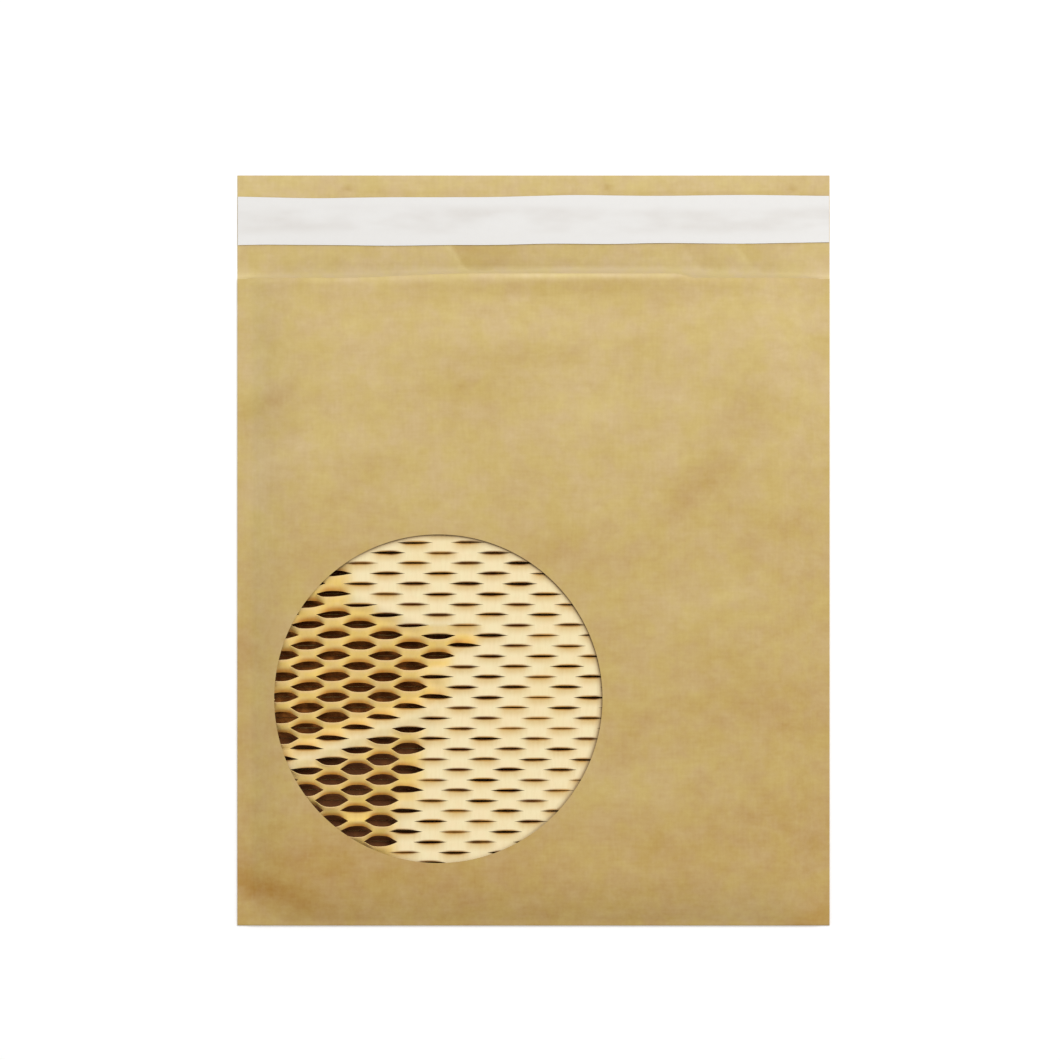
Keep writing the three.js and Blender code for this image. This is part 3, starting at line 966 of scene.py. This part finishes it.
def front_padding_finish():
    finish = Finish("slit_paper", 0.9, 0.1)
    mottle = finish.grain(190, 4, 0.6)
    fibres = finish.grain(1100, 2, 0.5, (1, 0.15, 1), 12)
    clouds = finish.grain(60, 3, 0.6)
    gold_shading_share = finish.sum_of(finish.attribute("gold_shading"), clouds, 0.5)
    # Cream where the padding is shut; the gold towards 1 is painted shade and light bounced off the brown
    # inside, on the stretched lands.
    colour = finish.ramp(
        gold_shading_share,
        [
            (0.0, (0.9, 0.77, 0.47)),
            (0.25, (0.87, 0.71, 0.37)),
            (0.6, (0.93, 0.69, 0.27)),
            (1.0, (0.97, 0.69, 0.2)),
        ],
    )
    peach = finish.blend(0.5, colour, (0.94, 0.7, 0.42))
    colour = finish.blend(finish.between(mottle, 0.35, 0.7, 0.0, 0.6), colour, peach)
    # Painted shadow just below each shut slit, cast by its upper lip.
    tan_shadow_share = finish.product(finish.attribute("tan_shadow"), finish.between(mottle, 0.2, 0.8, 0.7, 1.0))
    colour = finish.blend(tan_shadow_share, colour, (0.64, 0.4, 0.11))
    deep = finish.between(finish.attribute("shade"), 0.0, 0.85)
    shade_share = finish.product(deep, finish.between(mottle, 0.3, 0.7, 0.7, 1.0))
    colour = finish.blend(shade_share, colour, (0.68, 0.29, 0.04))
    # Painted highlight on the raised lower lip of each open slit.
    colour = finish.blend(finish.product(finish.attribute("lip_highlight"), 0.95), colour, (1.0, 0.71, 0.33))
    # Painted shadow of each shut slit's inside, drawn dark or brown on its lips.
    slit_shadow_share = finish.between(finish.attribute("line"), 0.1, 0.95)
    dark_or_brown = finish.between(clouds, 0.38, 0.62)
    slit_shadow_colour = finish.blend(dark_or_brown, (0.17, 0.05, 0.005), (0.5, 0.24, 0.05))
    colour = finish.blend(slit_shadow_share, colour, slit_shadow_colour)
    away, towards = window_distance(finish)
    side = finish.between(towards, -25 * MM, 30 * MM, 0.12, 1.0)
    soft = finish.product(finish.between(away, *RIM_SOFT_FADE, 0.0, 0.5), side)
    colour = finish.blend(soft, colour, (0.5, 0.36, 0.18))
    crisp = finish.product(finish.between(away, *RIM_CRISP_FADE, 0.0, 0.85), side)
    colour = finish.blend(crisp, colour, (0.32, 0.21, 0.1))
    dull = finish.blend(1.0, colour, (0.9, 0.87, 0.82), "MULTIPLY")
    colour = finish.blend(finish.between(fibres, 0.25, 0.6, 0.35, 0.0), colour, dull)
    normal = finish.bump(finish.grain(700, 3, 0.6), 0.03 * MM, 0.5)
    return finish.finish(colour, normal)


def back_padding_finish():
    finish = Finish("brown_slit_paper_and_shade", 0.95, 0.05)
    mottle = finish.grain(210, 4, 0.6)
    # Brown paper darkened far below its own colour: painted shade of the pocket's inside, seen through the
    # cells.
    colour = finish.ramp(
        mottle,
        [
            (0.32, (0.07, 0.02, 0.004)),
            (0.5, (0.13, 0.045, 0.01)),
            (0.68, (0.32, 0.12, 0.025)),
        ],
    )
    parts = finish.add("ShaderNodeSeparateXYZ")
    finish.link(finish.place, parts.inputs[0])
    # The painted shade is paler towards the foot.
    low_down = finish.between(parts.outputs["Y"], -82 * MM, -66 * MM, 0.75, 0.0)
    colour = finish.blend(low_down, colour, (0.13, 0.056, 0.025))
    # Painted shadow of the slits, darker on their lips.
    colour = finish.blend(finish.product(finish.attribute("line"), 0.6), colour, (0.06, 0.016, 0.003))
    normal = finish.bump(finish.grain(700, 3, 0.6), 0.03 * MM, 0.5)
    return finish.finish(colour, normal)


def release_finish():
    finish = Finish("release_paper", 0.45, 0.4)
    middle_y = (strip_low.y + strip_high.y) / 2
    mapping = finish.add("ShaderNodeMapping")
    mapping.inputs["Location"].default_value = (0, -middle_y, 0)
    finish.link(finish.place, mapping.inputs["Vector"])
    parts = finish.add("ShaderNodeSeparateXYZ")
    finish.link(mapping.outputs["Vector"], parts.inputs[0])
    height = finish.add("ShaderNodeMath", operation="ABSOLUTE")
    finish.link(parts.outputs["Y"], height.inputs[0])
    band = finish.between(height.outputs[0], 2.5 * MM, 7 * MM, 1.0, 0.0)
    smear = finish.between(finish.grain(70, 3, 0.6, (0.35, 1, 1)), 0.35, 0.68)
    speckle = finish.grain(420, 3, 0.6)
    share = finish.product(finish.product(band, smear), 0.55)
    colour = finish.blend(share, (0.79, 0.775, 0.75), (0.64, 0.6, 0.555))
    colour = finish.blend(finish.between(speckle, 0.35, 0.7, 0, 0.25), colour, (0.76, 0.74, 0.71))
    normal = finish.bump(finish.grain(55, 3, 0.5), 0.06 * MM, 0.4)
    return finish.finish(colour, normal)


def glue_finish(name, colour, roughness):
    finish = Finish(name, roughness, 0.5)
    smear = finish.grain(160, 3, 0.6, (1, 0.4, 1))
    pale = tuple(min(1, channel * 1.15) for channel in colour)
    mixed = finish.blend(finish.between(smear, 0.3, 0.7), colour, pale)
    return finish.finish(mixed, finish.bump(smear, 0.05 * MM, 0.5))


# Straight above the envelope, moved a little to the side and up as the photograph's frame is
CAMERA_PLACE = (-1.36 * MM, 7.95 * MM, 2.284 + 4 * MM)
LAMP_PLACE = (0.5, 0.95, 2.0)

# How bright the surroundings are: to the camera and reflections they are white, and the envelope gets less
LIGHT_LEVEL = 0.58
WHITE = 1.0

# The floor glows for the camera and reflections alone, and more so farther off, so that it looks evenly pale
GLOW_START = 0.7
GLOW_END = 3.5
GLOW_NEAR = 0.2
GLOW_FAR = 0.6


def place_camera():
    bpy.ops.object.camera_add(location=CAMERA_PLACE, rotation=(0, 0, 0))
    camera = bpy.context.object
    camera.name = "view_from_above"
    camera.data.lens = 200
    camera.data.sensor_width = 36
    camera.data.clip_start = 0.05
    camera.data.clip_end = 50
    bpy.context.scene.camera = camera


def background_rays(tree):
    """1 for what the camera or a reflection sees directly, 0 for light that falls on the envelope"""
    path = tree.nodes.new("ShaderNodeLightPath")
    seen = path.outputs["Is Camera Ray"]
    for name in ("Is Glossy Ray", "Is Transmission Ray"):
        total = tree.nodes.new("ShaderNodeMath")
        total.operation = "MAXIMUM"
        tree.links.new(seen, total.inputs[0])
        tree.links.new(path.outputs[name], total.inputs[1])
        seen = total.outputs[0]
    return seen


def light_the_scene():
    world = bpy.data.worlds.new("soft_studio")
    bpy.context.scene.world = world
    world.use_nodes = True
    tree = world.node_tree
    surround = tree.nodes["Background"]
    surround.inputs["Color"].default_value = (1, 1, 1, 1)
    level = tree.nodes.new("ShaderNodeMapRange")
    tree.links.new(background_rays(tree), level.inputs["Value"])
    level.inputs["To Min"].default_value = LIGHT_LEVEL
    level.inputs["To Max"].default_value = WHITE
    tree.links.new(level.outputs["Result"], surround.inputs["Strength"])

    bpy.ops.object.light_add(type="AREA", location=LAMP_PLACE)
    lamp = bpy.context.object
    lamp.name = "soft_lamp"
    lamp.data.shape = "DISK"
    lamp.data.size = 0.9
    lamp.data.energy = 26
    lamp.rotation_euler = (Vector((0, 0, 0)) - lamp.location).to_track_quat("-Z", "Y").to_euler()


def lay_floor():
    deselect_all()
    bpy.ops.mesh.primitive_plane_add(size=12, location=(0, 0, 0))
    floor = bpy.context.object
    floor.name = "floor"
    material = bpy.data.materials.new("pale_floor")
    material.use_nodes = True
    tree = material.node_tree
    matte = tree.nodes["Principled BSDF"]
    matte.inputs["Base Color"].default_value = (0.86, 0.86, 0.86, 1)
    matte.inputs["Roughness"].default_value = 0.95
    matte.inputs["Specular IOR Level"].default_value = 0.1
    glow = tree.nodes.new("ShaderNodeEmission")
    place = tree.nodes.new("ShaderNodeTexCoord")
    away = tree.nodes.new("ShaderNodeVectorMath")
    away.operation = "LENGTH"
    tree.links.new(place.outputs["Object"], away.inputs[0])
    level = tree.nodes.new("ShaderNodeMapRange")
    level.inputs["From Min"].default_value = GLOW_START
    level.inputs["From Max"].default_value = GLOW_END
    level.inputs["To Min"].default_value = GLOW_NEAR
    level.inputs["To Max"].default_value = GLOW_FAR
    tree.links.new(away.outputs["Value"], level.inputs["Value"])
    strength = tree.nodes.new("ShaderNodeMath")
    strength.operation = "MULTIPLY"
    tree.links.new(background_rays(tree), strength.inputs[0])
    tree.links.new(level.outputs["Result"], strength.inputs[1])
    tree.links.new(strength.outputs[0], glow.inputs["Strength"])
    both = tree.nodes.new("ShaderNodeAddShader")
    tree.links.new(matte.outputs[0], both.inputs[0])
    tree.links.new(glow.outputs[0], both.inputs[1])
    tree.links.new(both.outputs[0], tree.nodes["Material Output"].inputs["Surface"])
    floor.data.materials.append(material)


def add_to_object(piece, material, slot, *nodes):
    piece.data.materials.clear()
    piece.data.materials.append(material)
    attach(piece, "root")
    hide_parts(*nodes)


place_camera()
light_the_scene()
lay_floor()

add_to_object(kraft_sheet(), kraft_finish(), "kraft", "outer_sheet")

front_padding = slit_padding("front_padding", liner_low, liner_high, under_front_panel, False, FINE_REACH)
add_to_object(front_padding, front_padding_finish(), "padding", "front_liner")

back_padding = slit_padding("back_padding", back_low, back_high, on_back_panel, True, 0)
add_to_object(back_padding, back_padding_finish(), "back_padding", "back_liner")

strip = thin_strip("release_paper", strip_low, strip_high, RELEASE_HEIGHT, RELEASE_THICKNESS, RELEASE_WAVE)
add_to_object(strip, release_finish(), "release", "release_strip")
band = thin_strip(
    "adhesive_band", adhesive_low, adhesive_high, ADHESIVE_HEIGHT, ADHESIVE_THICKNESS, ADHESIVE_WAVE
)
add_to_object(band, glue_finish("tacky_adhesive", (0.78, 0.74, 0.58), 0.3), "adhesive", "flap_adhesive")
seam_finish = glue_finish("dried_glue", (0.7, 0.58, 0.34), 0.5)
for node in ("left_seam_glue", "right_seam_glue"):
    add_to_object(seam_glue(node + "_line", *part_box(node)), seam_finish, "glue", node)

bpy.context.scene.view_settings.view_transform = "Standard"
